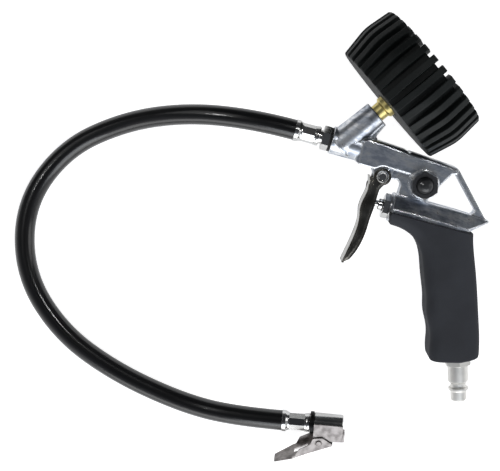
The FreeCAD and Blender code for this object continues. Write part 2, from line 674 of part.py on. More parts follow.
def gauge_boot():
    """The rubber boot: a barrel-shaped cup with ribs along it, closed in over the bezel."""
    back, front = BOOT_BACK, BOOT_BACK + BOOT_DEPTH
    middle = (back + front) / 2
    inside = CASE_R + 0.1
    corners = [(back, 8.4), (back, BOOT_BACK_R - 1.0), (back + 0.6, BOOT_BACK_R), (middle, BOOT_R, 30),
               (front - 1.2, BOOT_FRONT_R), (front, BOOT_FRONT_R - 1.2), (front, 33.0),
               (BEZEL_FRONT + 0.1, 33.0), (BEZEL_FRONT + 0.1, inside), (CASE_BACK - 0.1, inside),
               (CASE_BACK - 0.1, 8.4)]
    cup = Part.Face(outline(corners)).revolve(V(0, 0, 0), V(1, 0, 0), 360)
    cutters = [boot_cutter(360 / BOOT_RIBS * (rib + 0.5)) for rib in range(BOOT_RIBS)]
    return placed(cup.cut(cutters), BOSS)


def gauge_case():
    """The steel cup that holds the gauge's works."""
    profile = [(CASE_BACK, 6.0), (CASE_BACK, CASE_R), (BEZEL_BACK, CASE_R), (BEZEL_BACK, CASE_R - 1.0),
               (CASE_BACK + 1.0, CASE_R - 1.0), (CASE_BACK + 1.0, 6.0)]
    return turned(profile, BOSS)


def gauge_bezel():
    """The ring that holds the lens."""
    profile = [(BEZEL_BACK, CASE_R), (BEZEL_FRONT, CASE_R), (BEZEL_FRONT, 31.5), (BEZEL_FRONT - 0.8, 31.2),
               (BEZEL_FRONT - 0.8, 34.0), (BEZEL_BACK, 34.0)]
    return turned(profile, BOSS)


def gauge_lens():
    return rod(33.9, BEZEL_BACK + 0.1, BEZEL_FRONT - 0.85, BOSS)


def gauge_dial():
    """The dial plate, with holes for the arbor and its two screws."""
    plate = tube(34.4, 1.6, DIAL_BACK, DIAL_BACK + 0.8)
    holes = [Part.makeCylinder(0.8, 5, V(DIAL_BACK - 1, -6.0, way * 6.5), V(1, 0, 0)) for way in (-1, 1)]
    return placed(plate.cut(holes), BOSS)


def dial_screws():
    """Two screws that hold the dial to the works."""
    screws = []
    for way in (-1, 1):
        screw = turned([(PLATE_FRONT + 0.2, 0), (PLATE_FRONT + 0.2, 0.8), (PLATE_FRONT + 1.0, 0.8),
                        (PLATE_FRONT + 1.0, 1.5), (DIAL_BACK, 1.5), (DIAL_BACK, 0.8), (DIAL_BACK + 0.8, 0.8),
                        (DIAL_BACK + 0.8, 1.6), (DIAL_BACK + 1.5, 1.3), (DIAL_BACK + 1.5, 0)])
        slot = Part.makeBox(1, 4, 0.4, V(DIAL_BACK + 1.1, -2, -0.2))
        screw = screw.cut(slot)
        screw.translate(V(0, -6.0, way * 6.5))
        screws.append(placed(screw, BOSS))
    return Part.makeCompound(screws)


def gauge_pointer():
    """The hand at zero, lower left, on its hub."""
    hub = turned([(33.3, 0.8), (33.3, 2.3), (34.8, 2.3), (35.3, 1.6), (35.3, 0.8)])
    points = [V(34.0, up, side) for up, side in ((26.0, 0), (0, -1.1), (-8.0, -1.6), (-8.0, 1.6), (0, 1.1))]
    hand = Part.Face(Part.makePolygon(points + points[:1])).extrude(V(0.5, 0, 0))
    hand = hand.cut(rod(0.8, 30, 40))
    pointer = hub.fuse(hand)
    pointer.rotate(V(0, 0, 0), V(1, 0, 0), POINTER_REST)
    return placed(pointer, BOSS)


def involute_half_angle(radius, pitch_r, half_at_pitch):
    """Half of a tooth's angle at a radius, for a 20 degree involute."""
    base_r = pitch_r * math.cos(math.radians(20))
    pressure = math.acos(min(1.0, base_r / radius))
    at_pitch = math.tan(math.radians(20)) - math.radians(20)
    return half_at_pitch + at_pitch - (math.tan(pressure) - pressure)


def pinion_arbor():
    """The pinion on its arbor, which carries the pointer."""
    root, tip = PINION_PITCH_R - 1.2 * GEAR_MODULE, PINION_PITCH_R + 0.85 * GEAR_MODULE
    base = PINION_PITCH_R * math.cos(math.radians(20))
    half_at_pitch = math.pi / (2 * PINION_TEETH) * (1 - GEAR_PLAY)
    points = []
    for tooth in range(PINION_TEETH):
        middle = math.pi + 2 * math.pi * tooth / PINION_TEETH
        flank = [(r, involute_half_angle(max(r, base), PINION_PITCH_R, half_at_pitch))
                 for r in (root, base, PINION_PITCH_R, tip)]
        for r, half in flank:
            points.append(V(PINION_FROM, r * math.cos(middle - half), r * math.sin(middle - half)))
        for r, half in reversed(flank):
            points.append(V(PINION_FROM, r * math.cos(middle + half), r * math.sin(middle + half)))
    gear = Part.Face(Part.makePolygon(points + points[:1])).extrude(V(PINION_TO - PINION_FROM, 0, 0))
    return placed(gear.fuse(rod(ARBOR_R, PLATE_BACK + 0.1, 35.2)).removeSplitter(), BOSS)


def sector_gear():
    """The toothed sector that turns the pinion, with its shaft and the tail that the link pulls."""
    centre = V(SECTOR_FROM, -GEAR_CENTRES, 0)
    sector_pitch_r = GEAR_CENTRES - PINION_PITCH_R
    root, tip = sector_pitch_r - 1.25 * GEAR_MODULE, sector_pitch_r + 0.6 * GEAR_MODULE
    half_at_pitch = math.pi / (2 * SECTOR_TEETH_ROUND) * (1 - GEAR_PLAY)
    pitch = 2 * math.pi / SECTOR_TEETH_ROUND
    slope = math.tan(math.radians(20)) / sector_pitch_r
    points = [centre + V(0, 0, 0)]
    for tooth in range(-SECTOR_TEETH_BEHIND, SECTOR_TEETH_AHEAD):
        middle = pitch * (tooth + 0.5)
        for r, side in ((root, -1), (tip, -1), (tip, 1), (root, 1)):
            half = half_at_pitch - (r - sector_pitch_r) * slope
            angle = middle + side * half
            points.append(centre + V(0, r * math.cos(angle), r * math.sin(angle)))
    wedge = Part.Face(Part.makePolygon(points + points[:1])).extrude(V(SECTOR_THICK, 0, 0))
    tail_at = V(SECTOR_FROM, TAIL_AT[0], TAIL_AT[1])
    run = (tail_at - centre).normalize()
    across = V(0, -run.z, run.y) * 1.3
    tail_points = [centre + across, centre - across, tail_at - across, tail_at + across]
    tail = Part.Face(Part.makePolygon(tail_points + tail_points[:1])).extrude(V(SECTOR_THICK, 0, 0))
    tail_end = Part.makeCylinder(1.3, SECTOR_THICK, tail_at, V(1, 0, 0))
    hub = Part.makeCylinder(2.4, SECTOR_THICK + 2.0, centre - V(1.0, 0, 0), V(1, 0, 0))
    shaft_from = V(PLATE_BACK + 0.1, -GEAR_CENTRES, 0)
    shaft = Part.makeCylinder(1.0, PLATE_FRONT + 0.8 - PLATE_BACK, shaft_from, V(1, 0, 0))
    whole = fused([wedge, tail, tail_end, hub, shaft])
    return placed(whole.cut(Part.makeCylinder(0.6 + RUNNING, 10, tail_at - V(5, 0, 0), V(1, 0, 0))), BOSS)


def gauge_link():
    """The link from the sector's tail towards the tip of the pressure tube."""
    low = SECTOR_FROM + SECTOR_THICK + 0.3
    start, end = V(low, TAIL_AT[0], TAIL_AT[1]), V(low, LINK_TIP[0], LINK_TIP[1])
    run = (end - start).normalize()
    across = V(0, -run.z, run.y) * 0.8
    points = [start + across, start - across, end - across, end + across]
    bar = Part.Face(Part.makePolygon(points + points[:1])).extrude(V(0.7, 0, 0))
    eyes = [Part.makeCylinder(1.2, 0.7, p, V(1, 0, 0)) for p in (start, end)]
    pin = Part.makeCylinder(0.6, SECTOR_THICK + 1.3, start - V(SECTOR_THICK + 0.6, 0, 0), V(1, 0, 0))
    whole = fused([bar] + eyes + [pin])
    return placed(whole.cut(Part.makeCylinder(0.5, 5, end - V(2, 0, 0), V(1, 0, 0))), BOSS)


def bourdon_tube():
    """The flattened, curved pressure tube, from its foot round to its closed tip."""
    half_wide, half_thin = 3.4, 1.1
    corners = [(22 - half_wide, half_thin), (22 + half_wide, half_thin), (22 + half_wide, -half_thin),
               (22 - half_wide, -half_thin)]
    points = [V(along, BOURDON_R + out, 0) for along, out in corners]
    face = Part.Face(Part.makePolygon(points + points[:1]))
    face.rotate(V(0, 0, 0), V(1, 0, 0), BOURDON_FOOT - 4.0)
    return placed(face.revolve(V(0, 0, 0), V(1, 0, 0), -BOURDON_SWEEP), BOSS)


def movement_plate(start, thick):
    """One of the two plates that carry the arbor and the sector's shaft."""
    corners = [(4.5, 9.5, 3), (4.5, -9.5, 3), (-21.5, -6.5, 3), (-21.5, 6.5, 3)]
    face = Part.Face(outline([(y, z, r) for y, z, r in corners]))
    plate = face.extrude(V(0, 0, thick))
    plate.Placement = local(V(start, 0, 0), V(0, 1, 0), V(0, 0, 1))
    arbor_hole = rod(ARBOR_R + RUNNING, start - 1, start + thick + 1)
    shaft_hole = Part.makeCylinder(1.0 + RUNNING, 10, V(start - 2, -GEAR_CENTRES, 0), V(1, 0, 0))
    return plate.cut([arbor_hole, shaft_hole])


def movement_back_plate():
    return placed(movement_plate(PLATE_BACK, 1.0), BOSS)


def movement_front_plate():
    plate = movement_plate(PLATE_FRONT, 1.0)
    holes = [Part.makeCylinder(0.8, 5, V(PLATE_FRONT - 1, -6.0, way * 6.5), V(1, 0, 0)) for way in (-1, 1)]
    return placed(plate.cut(holes), BOSS)


def movement_posts():
    """The pillars that hold the two plates apart."""
    height = PLATE_FRONT - PLATE_BACK - 1.0
    places = [V(PLATE_BACK + 1.0, y, z) for y, z in ((2.2, 7.0), (2.2, -7.0), (-19.0, 5.2), (-19.0, -5.2))]
    posts = [Part.makeCylinder(1.1, height, place, V(1, 0, 0)) for place in places]
    return placed(Part.makeCompound(posts), BOSS)


def on_floor(shape):
    """A gun piece as the gun lies."""
    return placed(shape, LAY)


def hose_route():
    """The hose's centre line: the ferrule's mouth, then the corners of its route to the chuck."""
    start = LAY.multVec(BARREL.multVec(V(-GUN_FERRULE_END, 0, 0)))
    first = LAY.multVec(BARREL.multVec(V(-GUN_FERRULE_END - HOSE_FIRST_RUN, 0, 0)))
    return [start, first] + [V(*corner) for corner in HOSE_CORNERS]


def air_hose():
    """The hose: straight runs joined by the largest arcs that they allow."""
    route = hose_route()
    runs = [b - a for a, b in zip(route, route[1:])]
    edges = []
    at = route[0]
    length = 0.0
    radii = []
    for index in range(1, len(route) - 1):
        before, after = runs[index - 1], runs[index]
        turn = before.getAngle(after)
        reach = 0.45 * min(before.Length, after.Length)
        radius = reach / math.tan(turn / 2)
        corner = route[index]
        back = before * (-1 / before.Length)
        on = after * (1 / after.Length)
        middle = corner + (back + on).normalize() * (radius / math.cos(turn / 2) - radius)
        start, end = corner + back * reach, corner + on * reach
        edges.append(Part.LineSegment(at, start).toShape())
        edges.append(Part.Arc(start, middle, end).toShape())
        length += at.distanceToPoint(start) + radius * turn
        radii.append(round(radius))
        at = end
    edges.append(Part.LineSegment(at, route[-1]).toShape())
    length += at.distanceToPoint(route[-1])
    section = Part.Wire(Part.makeCircle(HOSE_R, route[0], runs[0]))
    solid = Part.Wire(edges).makePipeShell([section], True, False)
    print("hose: length", round(length, 1), "radii", radii, "volume", round(solid.Volume), "expected",
          round(math.pi * HOSE_R ** 2 * length), "lowest", round(solid.BoundBox.ZMin, 2))
    print("hose start", [round(c, 2) for c in route[0]], "first corner", [round(c, 2) for c in route[1]])
    return solid


def chuck_place():
    """The chuck's axes: x along the hose's last run, y towards its lever, which leans to the floor."""
    route = hose_route()
    along = (route[-1] - route[-2]).normalize()
    level = along.cross(V(0, 0, 1)).normalize()
    up = level.cross(along).normalize()
    lean = math.radians(CHUCK_LEAN)
    return local(route[-1], along, level * math.cos(lean) - up * math.sin(lean))


def chuck_ferrule():
    return ferrule(0.0, 17.1, 6.6, 5.6, 5.8, 3.4, PLAIN)


def chuck_barb():
    """The barbed stem that joins the hose to the chuck, with the collar that shows between them."""
    tail = barbed_tail(3.0, 16.8, PLAIN)
    profile = [(17.2, 0), (17.2, 6.8), (17.5, 7.2), (19.4, 7.2), (CHUCK_BODY_FROM, 6.8), (CHUCK_BODY_FROM, 0)]
    collar = turned(profile)
    neck = rod(3.35, 16.0, 18.0)
    thread = rod(3.95, CHUCK_BODY_FROM - 0.5, 24.0)
    return fused([tail, neck, collar, thread]).cut(rod(1.75, 0, 30))


def chuck_body():
    """The round body, bored for the tire valve, with a slot that the lever's jaw bites through."""
    body = turned([(CHUCK_BODY_FROM, 0), (CHUCK_BODY_FROM, 6.2), (CHUCK_BODY_FROM + 0.4, CHUCK_R),
                   (CHUCK_BODY_TO - 0.5, CHUCK_R), (CHUCK_BODY_TO, CHUCK_R - 0.5), (CHUCK_BODY_TO, 0)])
    bores = [rod(4.0, 19, 25.3), rod(2.4, 25, 29), rod(4.9, 25.4, 28.4), rod(4.5, 28.3, 31.9),
             rod(CHUCK_BORE_R, 31.8, 40)]
    slot = slab([(34.6, 3.0), (40.0, 3.0), (40.0, 9.0), (34.6, 9.0)], -JAW_HALF - CLEAR, JAW_HALF + CLEAR)
    return body.cut(bores + [slot])


def chuck_bracket():
    """The pressed bracket round the body's lower half, with an ear each side for the lever's pin."""
    corners = [(19.7, -2.6), (CHUCK_BODY_TO, -2.6), (CHUCK_BODY_TO, 7.9), (30.0, 8.3), (25.4, 11.1, 1.6),
               (21.4, 11.5, 1.6), (19.7, 8.4)]
    outer = slab(corners, -BRACKET_HALF, BRACKET_HALF)
    inner = BRACKET_HALF - 0.8
    inside = slab([(10, CHUCK_R + 1.2), (50, CHUCK_R + 1.2), (50, 20), (10, 20)], -inner, inner)
    round_inside = rod(CHUCK_R, CHUCK_BODY_FROM, 50)
    window = slab([(34.3, 3.0), (50.0, 3.0), (50.0, 12.0), (34.3, 12.0)], -JAW_HALF - 0.6, JAW_HALF + 0.6)
    pin = Part.makeCylinder(CHUCK_PIN_R, 40, V(CHUCK_PIVOT[0], CHUCK_PIVOT[1], -20))
    spring_room = Part.makeCylinder(2.8, 2 * inner, V(CHUCK_PIVOT[0], CHUCK_PIVOT[1], -inner))
    return outer.cut([inside, round_inside, window, pin, spring_room])


def chuck_lever():
    """The clip lever: thumb plate, side wings on the pin, and the jaw that hooks over the mouth."""
    inner = [(38.4, 8.95), (31.6, 9.3), (16.0, 16.1), (-3.2, 25.7)]
    outer = [(x + 0.4, y + 1.02) for x, y in reversed(inner)]
    sheet = slab(inner + outer, -WING_HALF, WING_HALF)
    half_plan = [(-6.0, THUMB_HALF), (8.0, WING_HALF), (31.8, WING_HALF), (31.8, JAW_HALF), (45.0, JAW_HALF)]
    plan = [V(x, 0, z) for x, z in half_plan] + [V(x, 0, -z) for x, z in reversed(half_plan)]
    plate = sheet.common(Part.Face(Part.makePolygon(plan + plan[:1])).extrude(V(0, 40, 0)))
    jaw = slab([(37.8, 4.3), (38.9, 4.3), (39.1, 9.2), (38.5, 9.97), (37.7, 9.4)], -JAW_HALF, JAW_HALF)
    wing_corners = [(9.4, 19.8), (11.6, 14.6, 1), (18.2, 10.8, 1), (19.6, 6.6, 1.5), (25.4, 5.6, 2),
                    (31.8, 9.4), (31.8, 10.2)]
    wings = [slab(wing_corners, side, side + 0.8) for side in (-WING_HALF, WING_HALF - 0.8)]
    lever = fused([plate, jaw] + wings)
    slot = slab([(8.8, 26.0), (8.8, 12.0), (17.0, 12.0), (17.0, 26.0)], -2.4, 2.4)
    pin = Part.makeCylinder(CHUCK_PIN_R + RUNNING, 40, V(CHUCK_PIVOT[0], CHUCK_PIVOT[1], -20))
    return lever.cut([slot, pin])


def chuck_pivot_pin():
    """The pin across the bracket's ears, with a head outside each of the lever's wings."""
    face = WING_HALF + 0.15
    head = [(face, CHUCK_PIN_R), (face, 2.0), (face + 0.7, 1.5), (face + 0.7, 0)]
    other_head = [(-along, radius) for along, radius in reversed(head)]
    return turned(other_head + head, CHUCK_PIN)


def chuck_lever_spring():
    """The spring round the pin that holds the jaw closed."""
    return coil(CHUCK_PIN_R + 0.9, 0.7, -4.4, 4.4, 5, CHUCK_PIN)


def chuck_seal():
    return tube(4.85, 2.1, 25.5, 28.3)


def chuck_core_pin():
    """The pin that opens the tire's valve, on a base with gaps that let the air by."""
    pin = turned([(24.1, 0), (24.1, 2.9), (25.1, 2.9), (25.1, 0.9), (31.0, 0.9), (31.5, 0.5), (31.5, 0)])
    gaps = []
    for side in range(3):
        gap = rod(0.75, 20, 26)
        gap.translate(V(0, 2.1, 0))
        gap.rotate(V(0, 0, 0), V(1, 0, 0), 120 * side)
        gaps.append(gap)
    return pin.cut(gaps)


GUN_PIECES = [
    body_casting, trigger_lever, trigger_pivot_rivet, valve_stem, valve_gland_nut, gland_washer, stem_seal,
    valve_seat, valve_plug, valve_spring, grip_sleeve, inlet_plug, inlet_seal, bleed_cap, bleed_button,
    bleed_spring, bleed_seal, union_washer, hose_union, gun_ferrule, gauge_socket, gauge_boot, gauge_case,
    gauge_bezel, gauge_lens, gauge_dial, dial_screws, gauge_pointer, pinion_arbor, sector_gear, gauge_link,
    bourdon_tube, movement_back_plate, movement_front_plate, movement_posts,
]
CHUCK_PIECES = [
    chuck_ferrule, chuck_barb, chuck_body, chuck_bracket, chuck_lever, chuck_pivot_pin, chuck_lever_spring,
    chuck_seal, chuck_core_pin,
]


def main():
    os.makedirs("parts", exist_ok=True)
    chuck = chuck_place()
    solids = {make.__name__: on_floor(make()) for make in GUN_PIECES}
    solids["air_hose"] = air_hose()
    solids.update({make.__name__: placed(make(), chuck) for make in CHUCK_PIECES})
    for name, shape in solids.items():
        if not shape.isValid() or not shape.Solids:
            print("check", name, shape.ShapeType)
        print(name, len(shape.Solids), round(shape.Volume, 1), "lowest", round(shape.BoundBox.ZMin, 2))
        shape.exportStep("parts/" + name + ".step")


main()
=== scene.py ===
import json
import math

import bpy
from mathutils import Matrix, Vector

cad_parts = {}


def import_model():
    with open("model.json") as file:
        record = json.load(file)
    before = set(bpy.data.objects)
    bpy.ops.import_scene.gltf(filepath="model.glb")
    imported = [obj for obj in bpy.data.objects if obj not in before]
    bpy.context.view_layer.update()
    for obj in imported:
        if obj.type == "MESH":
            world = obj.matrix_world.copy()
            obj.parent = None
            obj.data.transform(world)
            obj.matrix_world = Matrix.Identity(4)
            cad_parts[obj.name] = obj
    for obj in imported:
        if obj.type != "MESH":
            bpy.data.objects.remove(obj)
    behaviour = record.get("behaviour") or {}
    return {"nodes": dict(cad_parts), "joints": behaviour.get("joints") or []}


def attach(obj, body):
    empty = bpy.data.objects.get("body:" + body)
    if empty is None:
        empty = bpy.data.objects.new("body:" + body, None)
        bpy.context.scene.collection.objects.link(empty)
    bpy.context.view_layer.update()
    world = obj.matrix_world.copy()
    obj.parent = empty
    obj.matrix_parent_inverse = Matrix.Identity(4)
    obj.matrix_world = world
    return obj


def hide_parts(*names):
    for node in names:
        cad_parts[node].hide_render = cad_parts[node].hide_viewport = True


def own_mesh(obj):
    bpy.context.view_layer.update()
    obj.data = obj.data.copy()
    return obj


# The looks of a tire inflator that lies on a white table, seen from straight above.
# Lengths are metres, angles are radians and lamps are watts.

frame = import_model()
nodes = frame["nodes"]
joints = {joint["name"]: joint for joint in frame["joints"]}
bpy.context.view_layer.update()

# Camera, looking straight down
CAMERA_AT = (-0.08426, -0.01476, 0.780)
LENS_MM = 89.5
SENSOR_MM = 36.0
CLIP_START = 0.01

# Hose: the same corners as the frame's solid
HOSE_R = 0.0062
HOSE_ROUTE = [(-0.05748, 0.04823, 0.03864), (-0.08066, 0.05435, 0.03966),
              (-0.12140, 0.05940, 0.03130), (-0.16140, 0.05550, 0.01550),
              (-0.19970, 0.03900, 0.00680), (-0.22440, 0.00470, 0.00625),
              (-0.22460, -0.03830, 0.00625), (-0.20240, -0.07460, 0.00625),
              (-0.16800, -0.09980, 0.00625), (-0.12640, -0.11880, 0.00680),
              (-0.09340, -0.12610, 0.01330), (-0.06450, -0.12840, 0.01490)]
HOSE_STEPS = 24
HOSE_SIDE_STEPS = 10

# Tones of the metals, the darker and the lighter one
TRIGGER_TONES = (0.17, 0.16, 0.14), (0.36, 0.345, 0.31)
CHROME_TONES = (0.60, 0.60, 0.59), (0.80, 0.80, 0.79)
STEEL_TONES = (0.42, 0.42, 0.42), (0.60, 0.60, 0.60)
BLACKENED_TONES = (0.010, 0.010, 0.011), (0.03, 0.03, 0.03)
NICKEL_TONES = (0.74, 0.73, 0.70), (0.90, 0.89, 0.86)
BRASS_TONES = (0.70, 0.58, 0.21), (0.94, 0.80, 0.35)
CLIP_TONES = (0.17, 0.155, 0.15), (0.36, 0.335, 0.325)
METAL_RELIEF, METAL_RELIEF_STRENGTH = 0.00005, 0.15
METAL_GLOSS_SPREAD = (0.8, 1.25)

# Casting: its tones, its roughness where it is dull and where it is bright, its worn edges, whose white
# is partly wear and partly a painted highlight, and the turn and stretch that lay the streaks along the
# barrel. Textures have their scale per metre.
CAST_TONES = [(0.40, (0.27, 0.30, 0.36)), (0.50, (0.56, 0.60, 0.67)), (0.60, (0.95, 0.97, 1.0))]
CAST_DULL, CAST_BRIGHT = 0.42, 0.26
CAST_DULL_BELOW, CAST_BRIGHT_ABOVE = 0.35, 0.65
CAST_EDGE_R = 0.0014
# White of the edges: partly wear, partly a painted highlight
WEAR_AND_HIGHLIGHT_TONE = (0.96, 0.98, 1.0)
WEAR_AND_HIGHLIGHT_R = 0.0016
WEAR_AND_HIGHLIGHT_FULL, WEAR_AND_HIGHLIGHT_NONE = 0.93, 0.995
WORN_SMOOTHER = -0.12
STREAKS, BLOTCHES, PITS = 260.0, 95.0, 900.0
STREAK_TURN = 0.33
STREAK_STRETCH = (0.35, 1.0, 1.0)
STREAK_SHARE, BLOTCH_SHARE = 0.55, 0.45
STREAK_RELIEF, STREAK_STRENGTH = 0.00025, 0.35
PIT_RELIEF, PIT_STRENGTH = 0.00006, 0.25

# Rubbers, plastics, enamel and lens
GRIP_RUBBER = (0.030, 0.032, 0.038)
BOOT_RUBBER = (0.006, 0.0078, 0.0076)
SEAL_RUBBER = (0.02, 0.02, 0.02)
HOSE_RUBBER = (0.0035, 0.0035, 0.004)
HOSE_COAT, HOSE_COAT_ROUGHNESS = 0.8, 0.08
RUBBER_BLOTCHES = 40.0
RUBBER_GLOSS_SPREAD = (0.85, 1.15)
RUBBER_RELIEF = 0.0001
CAP_BLACK = (0.036, 0.037, 0.040)
BUTTON_BLACK = (0.010, 0.011, 0.013)
ENAMEL_BLACK = (0.012, 0.012, 0.013)
PLASTIC_COAT = 0.4
PLASTIC_BLOTCHES, PLASTIC_GRAIN = 120.0, 1500.0
PLASTIC_GLOSS_SPREAD = (0.8, 1.3)
PLASTIC_RELIEF, PLASTIC_RELIEF_STRENGTH = 0.00003, 0.05
DIAL_WHITE = (0.82, 0.82, 0.80)
DIAL_INK = (0.01, 0.01, 0.012)
LENS_TINT = (0.95, 0.97, 0.98)
LENS_IOR = 1.45
EDGE_SAMPLES = 6
METAL_EDGE_SAMPLES = 4

# Dial: an outer scale from 0 to 10 and an inner one that is 14.5 times as fine
DIAL_SWEEP = math.radians(270.0)
OUTER_FULL, OUTER_PARTS = 10, 5
OUTER_R, OUTER_LINE = 0.0304, 0.0003
WHOLE_TICK_FROM, WHOLE_TICK_WIDTH = 0.0268, 0.0005
PART_TICK_FROM, PART_TICK_WIDTH = 0.0284, 0.00025
OUTER_FIGURES_R, OUTER_FIGURES = 0.0234, 0.0052
INNER_FULL, INNER_STEP, INNER_SWEEP = 140, 10, 145.0
INNER_R, INNER_LINE = 0.0184, 0.0002
INNER_TICK_FROM, INNER_TICK_WIDTH = 0.0170, 0.0003
INNER_FIGURES_R, INNER_FIGURES = 0.0145, 0.0027
FIGURES_EACH = 2
RING_STEPS = 120
PRINT_LIFT = 0.00006

# Table: its size, how far it lies under the floor, its white, and how much it adds of its own
# to what the camera and the metal see of it
TABLE_REACH = 2.5
TABLE_DROP = 0.0004
TABLE_WHITE = (0.9, 0.9, 0.9)
TABLE_GLOW, TABLE_GLOW_IN_METAL = 0.82, 0.40

# Studio: the sky's grey by height, what is left of it from front to back, and the lamps with their
# place, what they face, width, height, power and colour
SKY_BY_HEIGHT = [(0.0, (1.0, 1.0, 1.0)), (0.3, (0.62, 0.63, 0.65)), (0.7, (0.20, 0.21, 0.23)),
                 (1.0, (0.065, 0.07, 0.078))]
SKY_BY_SIDE = [(0.1, (1.0, 1.0, 1.0)), (0.7, (0.12, 0.12, 0.12))]
WHITE = (1.0, 1.0, 1.0)
COOL_WHITE = (0.92, 0.96, 1.0)
GUN_AT = (0.0, 0.02, 0.03)
TABLE_MIDDLE = (0.0, 0.0, 0.03)
HOSE_FAR_BEND = (-0.208, 0.028, 0.006)
HOSE_NEAR_BEND = (-0.204, -0.065, 0.006)
LAMPS = [("key", (-0.55, 0.40, 0.85), GUN_AT, 0.50, 0.50, 0.5, WHITE),
         ("sheen", (0.20, -0.95, 0.74), TABLE_MIDDLE, 1.2, 0.6, 5.5, COOL_WHITE),
         ("south", (0.0, -1.00, 0.30), TABLE_MIDDLE, 1.6, 0.5, 3.6, WHITE),
         ("east", (1.0, 0.0, 0.35), GUN_AT, 0.4, 1.0, 1.6, WHITE),
         ("glint_west", (-0.473, 0.165, 0.85), HOSE_FAR_BEND, 0.05, 0.05, 0.5, WHITE),
         ("glint_east", (0.153, 0.231, 0.776), HOSE_NEAR_BEND, 0.05, 0.05, 0.55, WHITE)]


def new_object(name, data):
    """An object for a mesh, curve, lamp or camera, in the scene."""
    made = bpy.data.objects.new(name, data)
    bpy.context.collection.objects.link(made)
    return made


def spline_length(curve_object):
    """The length of a curve's own line, read from the curve with no bevel."""
    data = curve_object.data
    bevel = data.bevel_depth
    data.bevel_depth = 0.0
    line = bpy.data.meshes.new_from_object(curve_object)
    data.bevel_depth = bevel
    points = [vertex.co for vertex in line.vertices]
    length = sum((b - a).length for a, b in zip(points, points[1:]))
    bpy.data.meshes.remove(line)
    return length


def air_hose():
    """The hose as a smooth curve along its route, as thick as its points say."""
    data = bpy.data.curves.new("hose_line", "CURVE")
    data.dimensions = "3D"
    data.resolution_u = HOSE_STEPS
    data.bevel_depth = 1.0
    data.bevel_resolution = HOSE_SIDE_STEPS
    data.use_fill_caps = True
    spline = data.splines.new("NURBS")
    spline.points.add(len(HOSE_ROUTE) - 1)
    for point, place in zip(spline.points, HOSE_ROUTE):
        point.co = (*place, 1.0)
        point.radius = HOSE_R
    spline.order_u = 3
    spline.use_endpoint_u = True
    hose = new_object("hose_tube", data)
    data.materials.append(hose_rubber())
    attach(hose, "gun")
    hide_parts("air_hose")
    round(spline_length(hose), 4)


def return_spring(node):
    """A return spring as a piece of its own: a copy of the frame's coils on the gun, in place of the
    frame's piece.
    """
    coils = new_object(node + "_coils", nodes[node].data.copy())
    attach(coils, "gun")
    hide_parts(node)
    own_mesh(coils)


def material(name):
    """A new node material: its tree, its principled shader and its object coordinates."""
    made = bpy.data.materials.new(name)
    made.use_nodes = True
    tree = made.node_tree
    shader = tree.nodes["Principled BSDF"]
    coordinates = tree.nodes.new("ShaderNodeTexCoord")
    return made, tree, shader, coordinates.outputs["Object"]


def noise(tree, vector, scale, detail=3.0, roughness=0.5, stretch=None):
    """A noise texture; stretch scales its axes."""
    if stretch is not None:
        mapping = tree.nodes.new("ShaderNodeMapping")
        mapping.inputs["Scale"].default_value = stretch
        tree.links.new(vector, mapping.inputs["Vector"])
        vector = mapping.outputs["Vector"]
    texture = tree.nodes.new("ShaderNodeTexNoise")
    texture.inputs["Scale"].default_value = scale
    texture.inputs["Detail"].default_value = detail
    texture.inputs["Roughness"].default_value = roughness
    tree.links.new(vector, texture.inputs["Vector"])
    return texture.outputs["Fac"]


def ramp(tree, value, stops):
    """A colour ramp through (position, colour) stops."""
    node = tree.nodes.new("ShaderNodeValToRGB")
    for element, (position, colour) in zip(node.color_ramp.elements, (stops[0], stops[-1])):
        element.position = position
        element.color = (*colour, 1)
    for position, colour in stops[1:-1]:
        node.color_ramp.elements.new(position).color = (*colour, 1)
    tree.links.new(value, node.inputs["Fac"])
    return node.outputs["Color"]


def spread(tree, value, low, high, from_low=0.0, from_high=1.0):
    """A value from 0 to 1, or from_low to from_high, mapped onto low to high."""
    node = tree.nodes.new("ShaderNodeMapRange")
    node.inputs["From Min"].default_value = from_low
    node.inputs["From Max"].default_value = from_high
    node.inputs["To Min"].default_value = low
    node.inputs["To Max"].default_value = high
    tree.links.new(value, node.inputs["Value"])
    return node.outputs["Result"]


def times_plus(tree, value, factor, plus):
    """A value times a plain number, plus another value."""
    node = tree.nodes.new("ShaderNodeMath")
    node.operation = "MULTIPLY_ADD"
    node.inputs[1].default_value = factor
    tree.links.new(value, node.inputs[0])
    tree.links.new(plus, node.inputs[2])
    return node.outputs["Value"]


def mixed(tree, factor, first, second):
    """A colour that goes from the first, a value, to the second, a plain colour."""
    node = tree.nodes.new("ShaderNodeMix")
    node.data_type = "RGBA"
    tree.links.new(factor, node.inputs["Factor"])
    tree.links.new(first, node.inputs["A"])
    node.inputs["B"].default_value = (*second, 1)
    return node.outputs["Result"]


def rounded_normal(tree, radius, samples=EDGE_SAMPLES):
    """The normal of a surface whose edges look rounded."""
    node = tree.nodes.new("ShaderNodeBevel")
    node.samples = samples
    node.inputs["Radius"].default_value = radius
    return node.outputs["Normal"]


def relief(tree, height, strength, distance, normal=None):
    """A normal with the relief of a height on it."""
    node = tree.nodes.new("ShaderNodeBump")
    node.inputs["Strength"].default_value = strength
    node.inputs["Distance"].default_value = distance
    tree.links.new(height, node.inputs["Height"])
    if normal is not None:
        tree.links.new(normal, node.inputs["Normal"])
    return node.outputs["Normal"]


